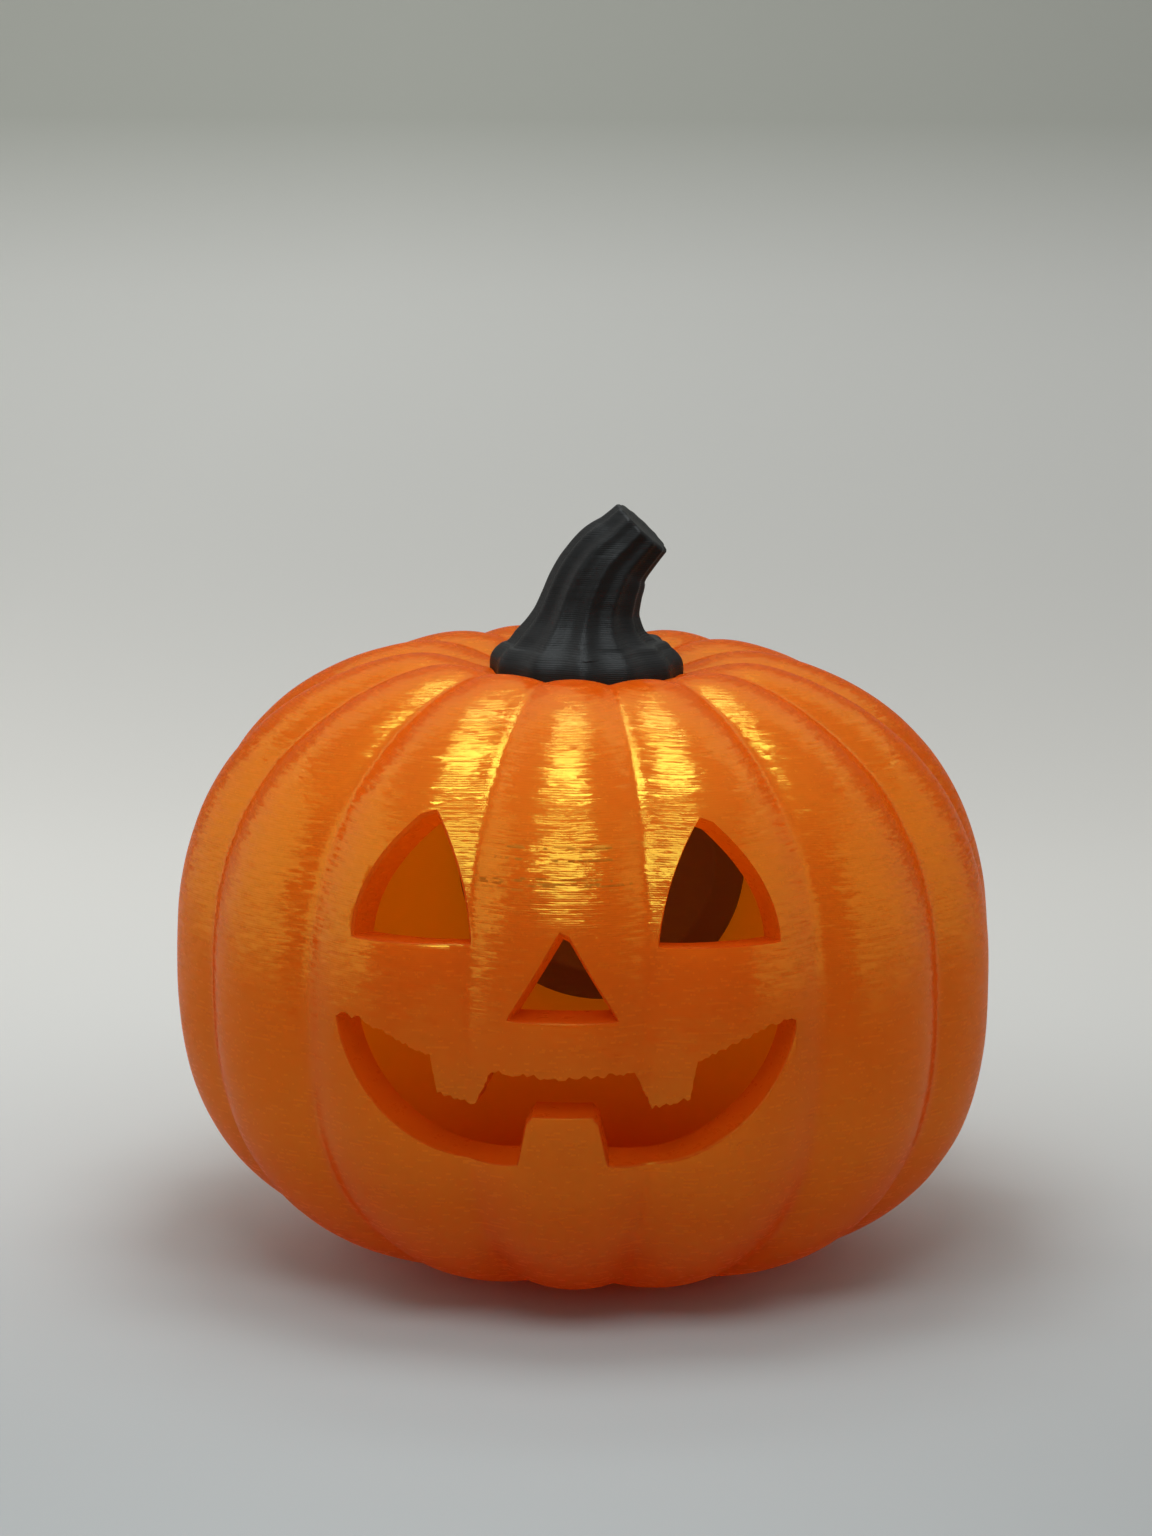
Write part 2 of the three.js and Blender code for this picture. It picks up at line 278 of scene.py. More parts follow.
def printed_layers_group():
    """Builds the node group for printed layers, and returns it."""
    tree = bpy.data.node_groups.new("printed layers", "ShaderNodeTree")
    make = tree.interface.new_socket
    for name in ("Layer Height", "Bead Length", "Tilt", "Turn", "Unevenness", "Ripple"):
        make(name, in_out="INPUT", socket_type="NodeSocketFloat")
    make("Normal", in_out="OUTPUT", socket_type="NodeSocketVector")
    for name in ("Bead", "Valley", "Cloud", "Gap"):
        make(name, in_out="OUTPUT", socket_type="NodeSocketFloat")
    given = tree.nodes.new("NodeGroupInput").outputs
    put_out = tree.nodes.new("NodeGroupOutput").inputs
    place = object_place(tree)
    x, y, z = split(tree, place)

    # The layer that a point is in, and where in its height: part goes from 1 at its foot to -1 at its top
    wander = calculate(tree, "MULTIPLY", noise_at(tree, place, wander_scale, 1)[0], wander_layers)
    level = calculate(tree, "ADD", calculate(tree, "DIVIDE", z, given["Layer Height"]), wander)
    layer = calculate(tree, "FLOOR", level)
    twice_above = calculate(tree, "MULTIPLY", calculate(tree, "FRACT", level), 2)
    part = calculate(tree, "SUBTRACT", 1, twice_above)

    # Noise that is drawn out along the bead, and one random number for each layer
    along = add_node(tree, "ShaderNodeCombineXYZ", [
        calculate(tree, "DIVIDE", x, given["Bead Length"]),
        calculate(tree, "DIVIDE", y, given["Bead Length"]),
        calculate(tree, "MULTIPLY", layer, bead_step),
    ]).outputs[0]
    bead, bead_colour = noise_at(tree, along, 1.0, bead_detail, bead_roughness)
    sideways_bead = add_node(tree, "ShaderNodeSeparateColor", [bead_colour]).outputs[1]
    own = add_node(tree, "ShaderNodeTexWhiteNoise", noise_dimensions="1D")
    tree.links.new(layer, own.inputs["W"])
    own_value = own.outputs["Value"]

    # How far the normal tilts: by the round of the bead, and by the lean of this length of it
    centred_bead = calculate(tree, "MULTIPLY", calculate(tree, "SUBTRACT", bead, 0.5), bead_strength)
    centred_own = calculate(tree, "SUBTRACT", own_value, 0.5)
    uneven = calculate(tree, "ADD", centred_bead, centred_own)
    size = calculate(tree, "MULTIPLY_ADD", uneven, given["Unevenness"], 1)
    leaning = calculate(tree, "MULTIPLY", given["Unevenness"], lean_strength)
    lean = calculate(tree, "MULTIPLY", centred_bead, leaning)
    round_and_lean = calculate(tree, "MULTIPLY_ADD", part, size, lean)
    slope = calculate(tree, "MULTIPLY", given["Tilt"], round_and_lean)

    # The normal itself: tilted along the surface, swung to the side, and rippled
    facing = tree.nodes.new("ShaderNodeNewGeometry").outputs["Normal"]
    straight_up_share = scaled(tree, facing, split(tree, facing)[2])
    up_along = combine(tree, "SUBTRACT", upwards, straight_up_share)
    tilted = combine(tree, "SUBTRACT", facing, scaled(tree, up_along, slope))
    centred_sideways = calculate(tree, "SUBTRACT", sideways_bead, 0.5)
    swing = calculate(tree, "MULTIPLY", centred_sideways, given["Turn"])
    side = combine(tree, "CROSS_PRODUCT", facing, upwards)
    swung = combine(tree, "ADD", tilted, scaled(tree, side, swing))
    ripple_colour = noise_at(tree, place, ripple_scale, 2, ripple_roughness)[1]
    centred_ripple = combine(tree, "SUBTRACT", ripple_colour, half_grey)
    rippled = combine(tree, "ADD", swung, scaled(tree, centred_ripple, given["Ripple"]))

    valley = calculate(tree, "POWER", calculate(tree, "ABSOLUTE", part), valley_power)
    twice_bead = calculate(tree, "MULTIPLY", bead, 2)
    rare_layer = calculate(tree, "GREATER_THAN", own_value, gap_layers)
    rare_place = ramp(tree, sideways_bead, gap_places)
    results = {
        "Normal": combine(tree, "NORMALIZE", rippled),
        "Bead": bead,
        "Valley": calculate(tree, "MULTIPLY", valley, twice_bead),
        "Cloud": noise_at(tree, place, cloud_scale, 2)[0],
        "Gap": calculate(tree, "MULTIPLY", rare_layer, rare_place),
    }
    for name, result in results.items():
        tree.links.new(result, put_out[name])
    return tree


printed_layers = printed_layers_group()
print("group", printed_layers.name, "has", len(printed_layers.nodes), "nodes")


def add_layers(tree, bead_length, tilt, turn, unevenness, ripple):
    """Places the printed layers group in a material, with its own values, and joins up its normal."""
    layers = tree.nodes.new("ShaderNodeGroup")
    layers.node_tree = printed_layers
    set_inputs(layers, {
        "Layer Height": layer_height,
        "Bead Length": bead_length,
        "Tilt": tilt,
        "Turn": turn,
        "Unevenness": unevenness,
        "Ripple": ripple,
    })
    tree.links.new(layers.outputs["Normal"], tree.nodes["Principled BSDF"].inputs["Normal"])
    return layers


# %% [markdown]
# ## The orange plastic
# The shell is printed in a silky, see-through orange, and its wall is thin skins over a sparse filling. So
# most of the light goes right through it and lights the inside, where a thick block of plastic would be
# dark. A Translucent shader on both faces of the wall does that, mixed with the plastic's own shader. Its
# shine is golden rather than white, so the specular colour is tinted, and strong, because the silky filler
# in the plastic acts like fine flakes of metal.
#
# The layers show most on the upper half, so the tilt, the swing and the dark lines fade further down.
# Further down the colour is also pulled towards the deep colour, which is painted shade, darker and redder
# towards the bottom. The forehead has fine dark dashes, where the Gap of the group is let through in a band
# above the nose, and their dark colour is painted shade.

# %% Mix the orange plastics
see_through = 0.6
golden = (1, 0.90, 0.10, 1)
orange_bead, orange_turn, orange_unevenness, orange_ripple = 2.5 * MM, 0.8, 0.9, 0.12
# From 24 mm to 42 mm up, the layers grow to full strength and the painted shade towards the bottom fades
# out.
smooth_and_shaded_below = (24 * MM, 42 * MM, 0.2, 1)
valley_shade = -0.9
rough_swing = 0.6
# The gap dashes are rougher beads where plastic is missing, in a near-black colour that is painted shade.
gap_shade_colour = (0.10, 0.015, 0.001)
gap_roughens = 0.5
gap_top = (48.6 * MM, 48.2 * MM, 0, 1)
gap_bottom = (44.2 * MM, 45.0 * MM, 0, 1)
gap_middle = -1.0 * MM
gap_sides = (7 * MM, 8.5 * MM, 1, 0)
gap_front = (-20 * MM, -25 * MM, 0, 1)


def orange_plastic(name, base, deep, glow, roughness, tilt, shine, reflective):
    """A printed orange. Base and deep are its lightest and darkest colour, and deep also gives the painted
    shade between beads and towards the bottom. Glow tints what goes through.
    """
    material, tree, shader = new_material(name)
    x, y, height = split(tree, object_place(tree))
    upper = ramp(tree, height, smooth_and_shaded_below)
    layers = add_layers(tree, orange_bead, tilt, orange_turn, orange_unevenness, orange_ripple)
    tree.links.new(calculate(tree, "MULTIPLY", upper, tilt), layers.inputs["Tilt"])
    tree.links.new(calculate(tree, "MULTIPLY", upper, orange_turn), layers.inputs["Turn"])

    off_middle = calculate(tree, "ABSOLUTE", calculate(tree, "SUBTRACT", x, gap_middle))
    gap = layers.outputs["Gap"]
    where = ((height, gap_top), (height, gap_bottom), (off_middle, gap_sides), (y, gap_front))
    for distance, limits in where:
        gap = calculate(tree, "MULTIPLY", gap, ramp(tree, distance, limits))

    # Painted shade between the beads: the colour darkens where Valley is high, over the slow random tone of
    # Cloud.
    valley, cloud = layers.outputs["Valley"], layers.outputs["Cloud"]
    tone_and_valley_shade = calculate(tree, "MULTIPLY_ADD", valley, valley_shade, cloud)
    # Painted shade towards the bottom: below the upper half the colour is pulled towards the deep colour.
    tone_and_shade = calculate(tree, "MULTIPLY", tone_and_valley_shade, upper)
    colour = mixed(tree, gap, mixed(tree, tone_and_shade, deep, base), gap_shade_colour)
    tree.links.new(colour, shader.inputs["Base Color"])
    least_rough = roughness - rough_swing / 2
    rough = calculate(tree, "MULTIPLY_ADD", layers.outputs["Bead"], rough_swing, least_rough)
    tree.links.new(calculate(tree, "MULTIPLY_ADD", gap, gap_roughens, rough), shader.inputs["Roughness"])
    set_inputs(shader, {"IOR": reflective, "Specular IOR Level": shine, "Specular Tint": golden})

    through = tree.nodes.new("ShaderNodeBsdfTranslucent")
    through.inputs["Color"].default_value = (*glow, 1)
    both = tree.nodes.new("ShaderNodeMixShader")
    both.inputs["Fac"].default_value = see_through
    tree.links.new(shader.outputs["BSDF"], both.inputs[1])
    tree.links.new(through.outputs["BSDF"], both.inputs[2])
    tree.links.new(both.outputs["Shader"], tree.nodes["Material Output"].inputs["Surface"])
    return material


# The three oranges are one plastic. The inside's lighter, yellower base is painted light, as if lit through
# the wall, and the cut walls' darker base is painted shade.
thin_glow = (0.98, 0.48, 0.02)
thick_glow = (0.80, 0.20, 0.01)
shell_orange = orange_plastic(
    "silky orange", base=(0.88, 0.155, 0.006), deep=(0.66, 0.08, 0.004), glow=thin_glow,
    roughness=0.22, tilt=0.16, shine=1.0, reflective=2.1,
)
inside_orange_painted_light = orange_plastic(
    "inside orange, painted light", base=(0.90, 0.22, 0.004), deep=(0.66, 0.05, 0.002), glow=thin_glow,
    roughness=0.5, tilt=0.2, shine=0.3, reflective=1.6,
)
wall_orange_painted_shade = orange_plastic(
    "cut wall orange, painted shade", base=(0.66, 0.085, 0.004), deep=(0.55, 0.06, 0.003), glow=thick_glow,
    roughness=0.34, tilt=0.2, shine=0.7, reflective=1.7,
)
print("orange plastics", [m.name for m in (shell_orange, inside_orange_painted_light, wall_orange_painted_shade)])

# %% [markdown]
# ## The shell
# A pumpkin's ribs could be sculpted one by one, but this one was drawn by a program: fourteen equal lobes
# with a crease between each two. So a sphere with many columns is squared off above and below, and every
# point is drawn in towards the middle by how near it is to a crease. The columns crowd towards the creases,
# where the surface bends most. The same steps with a smaller size make the hollow inside.

# %% Sizes of the shell
half_width = 40.75 * MM
rise, drop = 31.6 * MM, 31.0 * MM
wall = 4.6 * MM
squares_above = (2.8, 2.36)
squares_below = (2.62, 2.62)
dimple_depth, dimple_radius, dimple_power = 3.6 * MM, 13 * MM, 4
top_slope = 0.019
lobes = 14
lobe_turn = math.radians(-0.8)
lobe_roundness = 0.5
groove_depth = 0.08
valley_softness = 0.05
crowding = 0.6
groove_full_radius = 30 * MM
fade_above, fade_below = 1.2, 2
outer_columns, outer_rows = 24, 150
inner_columns, inner_rows = 12, 80
print_wobble, wobble_scale = 0.0012, 9


# %% Ribs and creases
def lobe_swell(turn, roundness):
    """How far a lobe has swollen, from little in the crease to 1 on its crest. One turn is one lobe."""
    steep = math.sin(math.pi * turn) ** 2
    return ((steep + valley_softness) / (1 + valley_softness)) ** (roundness / 2)


def groove_factor(angle, radius, above, depth):
    """The factor that draws a point in towards the middle of the shell."""
    turn = (angle - lobe_turn) / (2 * math.pi) * lobes + 0.5
    fade = min(1, radius / groove_full_radius) ** (fade_above if above else fade_below)
    return 1 - depth * fade * (1 - lobe_swell(turn, lobe_roundness))


def ribbed_body(inset, columns_per_lobe, rows, depth, wobble):
    """A closed ribbed body as a bmesh. Wobble is how far its surface wanders, as a print's does."""
    bm = bmesh.new()
    bmesh.ops.create_uvsphere(bm, u_segments=lobes * columns_per_lobe, v_segments=rows, radius=1)
    for vertex in bm.verts:
        direction = vertex.co.normalized()
        above = direction.z >= 0
        out_square, up_square = squares_above if above else squares_below
        flat = math.hypot(direction.x, direction.y)
        radius = (half_width - inset) * flat ** (2 / out_square)
        height = ((rise if above else drop) - inset) * abs(direction.z) ** (2 / up_square)
        if above:
            height -= dimple_depth * math.exp(-(radius / dimple_radius) ** dimple_power)
        angle = math.atan2(direction.x, -direction.y)
        angle += lobe_turn - crowding / lobes * math.sin(angle * lobes + math.pi)
        factor = groove_factor(angle, radius, above, depth)
        factor += wobble * noise.noise(direction * wobble_scale)
        x, y = math.sin(angle) * radius * factor, -math.cos(angle) * radius * factor
        z = math.copysign(height * factor, direction.z) - top_slope * x
        vertex.co = (x, y, z + middle.z)
    return bm


# %% Make the outside and the hollow
outside = ribbed_body(0, outer_columns, outer_rows, groove_depth, print_wobble)
everything = outside.verts[:] + outside.edges[:] + outside.faces[:]
bmesh.ops.bisect_plane(outside, geom=everything, plane_co=(0, 0, 0), plane_no=upwards, clear_inner=True)
open_edges = [edge for edge in outside.edges if edge.is_boundary]
bmesh.ops.edgeloop_fill(outside, edges=open_edges)
bmesh.ops.recalc_face_normals(outside, faces=outside.faces[:])
shell = new_object("orange_shell", outside, shell_orange)
inside = ribbed_body(wall, inner_columns, inner_rows, groove_depth / 2, 0)
hollow = new_object("hollow", inside, inside_orange_painted_light)
print("shell outside has", len(shell.data.polygons), "faces")

# %% [markdown]
# ## The openings
# Each eye, the nose and the mouth is an outline as seen from straight ahead. The outline is laid on the
# shell and drawn towards a point inside, so that its wall narrows as the real ones do. A few rings near the
# surface widen it a little, which rounds the edge that catches the light. The upper lip was printed over
# thin air, so its edge is ragged: each of its short steps is moved by a seeded random amount.

# %% Lay a point on the shell
solving_rounds = 8


def on_shell(x, height):
    """The point of the outer surface that lies at this place as seen from straight ahead."""
    above = height >= 0
    out_square, up_square = squares_above if above else squares_below
    reach = rise if above else drop
    factor, radius = 1, half_width
    for _ in range(solving_rounds):
        level = abs(height / factor / reach)
        radius = half_width * factor * max(0, 1 - level ** up_square) ** (1 / out_square)
        factor = groove_factor(math.asin(x / radius), radius, above, groove_depth)
    return Vector((x, -math.sqrt(radius ** 2 - x ** 2), height + middle.z))


# %% Outline helpers
ragged_edge_share = 0.25
ragged_depth = 0.3
ragged_step = 0.34
ragged_range = (-1, 0.6)
dice = random.Random(14)


def straight(start, end, step=0.45):
    """Points from start up to but without end, in millimetres."""
    length = math.dist(start, end)
    count = max(1, round(length / step))
    return [
        (start[0] + (end[0] - start[0]) * i / count, start[1] + (end[1] - start[1]) * i / count, 1)
        for i in range(count)
    ]


def curved(start, first, second, end, count=40):
    """Points on a cubic curve, from start up to but without end."""
    points = []
    spots = (start, first, second, end)
    for i in range(count):
        t = i / count
        weights = ((1 - t) ** 3, 3 * t * (1 - t) ** 2, 3 * t * t * (1 - t), t ** 3)
        points.append((
            sum(w * p[0] for w, p in zip(weights, spots)),
            sum(w * p[1] for w, p in zip(weights, spots)),
            1,
        ))
    return points


def bent(start, control, end, count=24):
    """The same for a curve with one control point."""
    first = [start[i] + (control[i] - start[i]) * 2 / 3 for i in (0, 1)]
    second = [end[i] + (control[i] - end[i]) * 2 / 3 for i in (0, 1)]
    return curved(start, first, second, end, count)


def ragged(points):
    """A run of straight pieces through points, with short steps that are moved up or down at random."""
    run = []
    for start, end in zip(points, points[1:]):
        for x, z, _ in straight(start, end, ragged_step):
            sag = dice.uniform(*ragged_range) * ragged_depth
            run.append((x, z + sag, ragged_edge_share))
    return run


def mirrored(outline):
    """The same outline on the other side, still the same way round."""
    return [(-x, z, share) for x, z, share in reversed(outline)]


def flipped(point):
    """The same point on the other side."""
    return (-point[0], point[1])


def widened(outline, amount):
    """Moves each point of an anticlockwise outline outwards by its share of the amount."""
    result = []
    for before, here, after in zip(outline[-1:] + outline[:-1], outline, outline[1:] + outline[:1]):
        inward = Vector(here[:2]) - Vector(before[:2])
        onward = Vector(after[:2]) - Vector(here[:2])
        along = inward.normalized() + onward.normalized()
        along.normalize()
        outward = Vector((along.y, -along.x))
        moved = Vector(here[:2]) + outward * amount * here[2]
        result.append((moved.x, moved.y))
    return result


# %% The outlines of the face
eye_inner, eye_outer, eye_tip = (8.8, 9.2), (19.85, 9.2), (12.65, 20.35)
outer_bow, inner_bow = (19.4, 15.3), (9.3, 15.4)
tip_half = 0.35
right_eye = straight(eye_inner, eye_outer)
right_eye += bent(eye_outer, outer_bow, (eye_tip[0] + tip_half, eye_tip[1]))
right_eye += bent((eye_tip[0] - tip_half, eye_tip[1]), inner_bow, eye_inner)
left_eye = mirrored(right_eye)

nose_corner, nose_tip = (5.05, 2.6), (0.25, 10.7)
nose = straight(flipped(nose_corner), nose_corner)
nose += straight(nose_corner, nose_tip)
nose += straight(flipped(nose_tip), flipped(nose_corner))

mouth_corner, corner_drop = (21.4, 1.8), 0.5
upper_lip = [
    (19.2, 1.6), (16.9, 0.6), (14.4, -0.5), (12.5, -1.3),
    (11.8, -4.9), (9.9, -5.6), (8.2, -5.95), (6.6, -2.4), (3.6, -2.5), (0, -2.75),
]
lower_low = (mouth_corner[0], mouth_corner[1] - corner_drop)
lower_inner, tooth_side, tooth_top = (4.3, -11.4), (3.45, -7.2), (2.8, -6.4)
first_control, second_control = (20.6, -5.6), (12.9, -12.9)
lip_points = [mouth_corner] + upper_lip + [flipped(point) for point in upper_lip[-2::-1]]
mouth = straight(tooth_top, tooth_side) + straight(tooth_side, lower_inner)
mouth += curved(lower_inner, second_control, first_control, lower_low)
mouth += ragged(lip_points + [flipped(mouth_corner)])
mouth += curved(flipped(lower_low), flipped(first_control), flipped(second_control), flipped(lower_inner))
mouth += straight(flipped(lower_inner), flipped(tooth_side))
mouth += straight(flipped(tooth_side), flipped(tooth_top))
mouth += straight(flipped(tooth_top), tooth_top)
print("outline points", len(right_eye), len(nose), len(mouth))

# %% Solids that cut
edge_rings = ((14.0, 0.5), (0.15, 0.36), (-0.03, 0.15), (-0.2, 0.04), (-0.45, 0.0))
eye_vanish, nose_vanish, mouth_vanish = (0, 24, 1), (0, -16, 3), (0, 22, -3.5)
deep_reach, nose_reach = 0.5, 0.35


def face_cutter(name, outline, vanish, inner_reach):
    """A solid that widens at the surface of the shell and narrows towards its vanishing point."""
    goal = Vector(vanish) * MM + Vector((0, 0, middle.z))
    rings = []
    for height, growth in edge_rings:
        surfaces = [on_shell(x * MM, z * MM) for x, z in widened(outline, growth)]
        rings.append([goal.lerp(spot, 1 + height * MM / (spot - goal).length) for spot in surfaces])
    rings.append([goal.lerp(on_shell(x * MM, z * MM), inner_reach) for x, z, _ in outline])
    return new_object(name, lofted(rings), wall_orange_painted_shade)


def ring_across(radius, height, sides):
    """A level ring that slopes with the top of the lantern."""
    places = []
    for index in range(sides):
        angle = 2 * math.pi * index / sides
        x, y = radius * math.sin(angle), -radius * math.cos(angle)
        places.append(Vector((x, y, height - top_slope * x)))
    return places


def ring_upright(radius, depth, sides):
    """A ring that faces the front, round the middle of the back cover."""
    turns = [2 * math.pi * index / sides for index in range(sides)]
    return [Vector((radius * math.sin(t), depth, cover_height + radius * math.cos(t))) for t in turns]


# %% Cut the hollow, the seats and the face
seat_radius, seat_height, seat_top = 9.4 * MM, 57.8 * MM, 80 * MM
cover_radius, cover_face, cover_thickness, cover_height = 15.2 * MM, 30.8 * MM, 1.6 * MM, 33.0 * MM
cover_seat_front = 26.2 * MM
clearance = 0.3 * MM
round_sides = 96
sharp_cut_edge = math.radians(40)

seat = new_object("seat", lofted([
    ring_across(seat_radius, seat_height, round_sides),
    ring_across(seat_radius, seat_top, round_sides),
]), shell_orange)
cover_seat = new_object("cover seat", lofted([
    ring_upright(cover_radius + clearance, cover_seat_front, round_sides),
    ring_upright(cover_radius + clearance, cover_face + cover_thickness + clearance, round_sides),
]), inside_orange_painted_light)
cutters = [hollow, seat, cover_seat]
cutters.append(face_cutter("right eye", right_eye, eye_vanish, deep_reach))
cutters.append(face_cutter("left eye", left_eye, eye_vanish, deep_reach))
cutters.append(face_cutter("nose", nose, nose_vanish, nose_reach))
cutters.append(face_cutter("mouth", mouth, mouth_vanish, deep_reach))
cut_with(shell, cutters)
shell.data.set_sharp_from_angle(angle=sharp_cut_edge)
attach(shell, "root")
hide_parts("shell")
print("shell has", len(shell.data.polygons), "faces, materials", [m.name for m in shell.data.materials])

# %% [markdown]
# ## The stem
# The stem is a black print with a dozen hollow flutes between thin crests. It stands in a round seat,
# narrows quickly to its neck and leans over to its cut end. It could be a bent curve with a bevel, but a
# curve can't change its section on the way, so a ring is extruded upwards: each ring has its own size, lean
# and depth of flute. A seam runs up the front of the foot, where the printer began each layer, and a small
# blob lies across it.

# %% The black plastics
dark_bead, dark_turn, dark_unevenness, dark_ripple = 3 * MM, 0.2, 0.3, 0.05
dark_rough_swing = 0.2


def dark_plastic(name, base, roughness, tilt, shine):
    """A dark printed plastic whose shine wanders a little from bead to bead."""
    material, tree, shader = new_material(name)
    layers = add_layers(tree, dark_bead, tilt, dark_turn, dark_unevenness, dark_ripple)
    least_rough = roughness - dark_rough_swing / 2
    rough = calculate(tree, "MULTIPLY_ADD", layers.outputs["Bead"], dark_rough_swing, least_rough)
    tree.links.new(rough, shader.inputs["Roughness"])
    set_inputs(shader, {"Base Color": (*base, 1), "Specular IOR Level": shine})
    return material


stem_black = dark_plastic("black satin", (0.006, 0.006, 0.006), roughness=0.5, tilt=0.3, shine=0.16)
cover_dark = dark_plastic("dark cover", (0.17, 0.14, 0.13), roughness=0.5, tilt=0.1, shine=0.3)
print("dark plastics", stem_black.name, "and", cover_dark.name)

# %% Rings of the stem
# Each station is a height, a lean to the side and a radius, in millimetres
stem_stations = (
    (0, 0, 9.65), (1.5, 0, 9.65), (2.4, 0, 9.3), (3.2, 0, 8.45), (4.1, 0, 7.1), (5.5, 0.12, 5.75),
    (7.2, 0.4, 5.05), (8.7, 0.85, 4.8), (10.2, 1.5, 4.55), (11.9, 2.5, 4.15), (13.4, 3.95, 3.65),
    (14.9, 5.35, 3.4),
)
end_rings = ((0.985, 0.1), (0.95, 0.22), (0.89, 0.28), (0.6, 0.2), (0.2, 0.12))
stem_flutes = 12
stem_columns = stem_flutes * 12
stem_rows = 110
flute_depth_base, flute_depth_neck, flute_neck_share = 0.055, 0.1, 0.35
flute_roundness = 1.3
seam_column, seam_end, seam_height = 2, 0.42, 0.1
blob_span, blob_columns, blob_height = (2.9, 3.1), 1, 0.18
stem_foot = seat_height + clearance
tilt_step = 0.01
last_share = 0.999999
sharp_rim = math.radians(50)


def smooth_between(stations, share):
    """A value on the smooth curve through the stations, with share from 0 to 1 over all of them."""
    spot = min(share, last_share) * (len(stations) - 1)
    index, t = int(spot), spot % 1
    before = stations[max(index - 1, 0)]
    a, b = stations[index], stations[index + 1]
    after = stations[min(index + 2, len(stations) - 1)]
    return [
        0.5 * (2 * q + (r - p) * t + (2 * p - 5 * q + 4 * r - s) * t ** 2 + (3 * q - p - 3 * r + s) * t ** 3)
        for p, q, r, s in zip(before, a, b, after)
    ]


def seam_rise(column, share, height):
    """How far the seam, or the blob across it, stands out from the stem."""
    if blob_span[0] < height < blob_span[1] and abs(column - seam_column) <= blob_columns:
        return blob_height
    return seam_height if column == seam_column and share < seam_end else 0


def stem_ring(share, shrink=1, lift=0):
    """One ring of the stem. Shrink and lift finish its cut end."""
    height, lean, radius = smooth_between(stem_stations, share)
    after = smooth_between(stem_stations, min(1, share + tilt_step))
    before = smooth_between(stem_stations, max(0, share - tilt_step))
    tilt = math.atan2(after[1] - before[1], after[0] - before[0])
    neck_share = min(1, share / flute_neck_share)
    depth = flute_depth_base + (flute_depth_neck - flute_depth_base) * neck_share
    places = []
    for index in range(stem_columns):
        angle = 2 * math.pi * index / stem_columns
        flute = 1 - depth * lobe_swell(angle / (2 * math.pi) * stem_flutes, flute_roundness)
        reach = radius * flute * shrink + seam_rise(index, share, height)
        across, y = reach * math.sin(angle), -reach * math.cos(angle)
        x = lean + across * math.cos(tilt) + lift * math.sin(tilt)
        z = height - across * math.sin(tilt) + lift * math.cos(tilt)
        places.append(Vector((x, y, z - top_slope * x)) * MM + Vector((0, 0, stem_foot)))
    return places


# %% Raise the stem
stem_rings = [stem_ring(row / stem_rows) for row in range(stem_rows + 1)]
stem_rings += [stem_ring(1, shrink, lift) for shrink, lift in end_rings]
stem = new_object("black_stem", lofted(stem_rings), stem_black)
stem.data.set_sharp_from_angle(angle=sharp_rim)
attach(stem, "root")
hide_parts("stem")
print("stem has", len(stem.data.polygons), "faces")

# %% [markdown]
# ## The round cover
# Behind the eyes and the nose a dark disc shows on the back wall. What it is can't be seen, so it is built
# as a plain cover in a shallow seat, with a rounded rim and a raised ring to hold on to.

# %% Turn the cover
# Radius and depth of the face in millimetres, and of the rim as counted from the edge of the face
face_steps = ((0.3, 0), (11.4, 0), (11.7, -0.25), (12.3, -0.25), (12.6, 0))
rim_steps = ((-0.4, 0), (-0.1, 0.1), (0, 0.4))
profile = [(radius * MM, cover_face + depth * MM) for radius, depth in face_steps]
profile += [(cover_radius + inset * MM, cover_face + depth * MM) for inset, depth in rim_steps]
profile += [(cover_radius, cover_face + cover_thickness)]
cover_rings = [ring_upright(radius, depth, round_sides) for radius, depth in profile]
cover = new_object("round_cover", lofted(cover_rings), cover_dark)
cover.data.set_sharp_from_angle(angle=sharp_rim)
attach(cover, "root")
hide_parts("back_cover")
print("cover has", len(cover.data.polygons), "faces")

# %% [markdown]
# ## The stage
# The lantern stands on a pale sheet that rises far behind it in a wide bend. The floor is darker in front
# than behind, and darker on the right than on the left. Lamps could be turned until it is so, but they would
# change the lantern too. So the sheet itself has those tones as painted shade, and its wall is painted
# darker as well. They are laid out by the distance in metres from the middle of the lantern.

# %% Bend the sheet
sheet_width, sheet_front = 9.0, -4.5
bend_start, bend_radius, wall_top = 0.95, 0.3, 1.2
bend_steps = 16
sheet = bmesh.new()
edge_points = [sheet.verts.new((-sheet_width / 2, sheet_front, 0))]
for step in range(bend_steps + 1):
    turn = math.radians(90) * step / bend_steps
    depth = bend_start + bend_radius * math.sin(turn)
    height = bend_radius * (1 - math.cos(turn))
    edge_points.append(sheet.verts.new((-sheet_width / 2, depth, height)))
edge_points.append(sheet.verts.new((-sheet_width / 2, bend_start + bend_radius, wall_top)))
edge_lines = [sheet.edges.new(pair) for pair in zip(edge_points, edge_points[1:])]
swept = bmesh.ops.extrude_edge_only(sheet, edges=edge_lines)
swept_points = [item for item in swept["geom"] if isinstance(item, bmesh.types.BMVert)]
bmesh.ops.translate(sheet, verts=swept_points, vec=(sheet_width, 0, 0))

# %% Paint shade on the sheet
# Painted shade: the floor is darkest about 0.19 m in front of the lantern, the sheet from 45 mm up is
# darker, and it darkens by a fifth towards the right.
front_shade_tone, back_tone, wall_shade_tone = (0.37, 0.375, 0.375), (0.92, 0.915, 0.89), (0.60, 0.61, 0.56)
darkest_shade_front = 0.19
front_to_back = (0.09, 0.39, 0, 1)
floor_to_wall = (0, 0.045, 0, 1)
shade_left_to_right = (-0.12, 0.16, 1, 0.80)

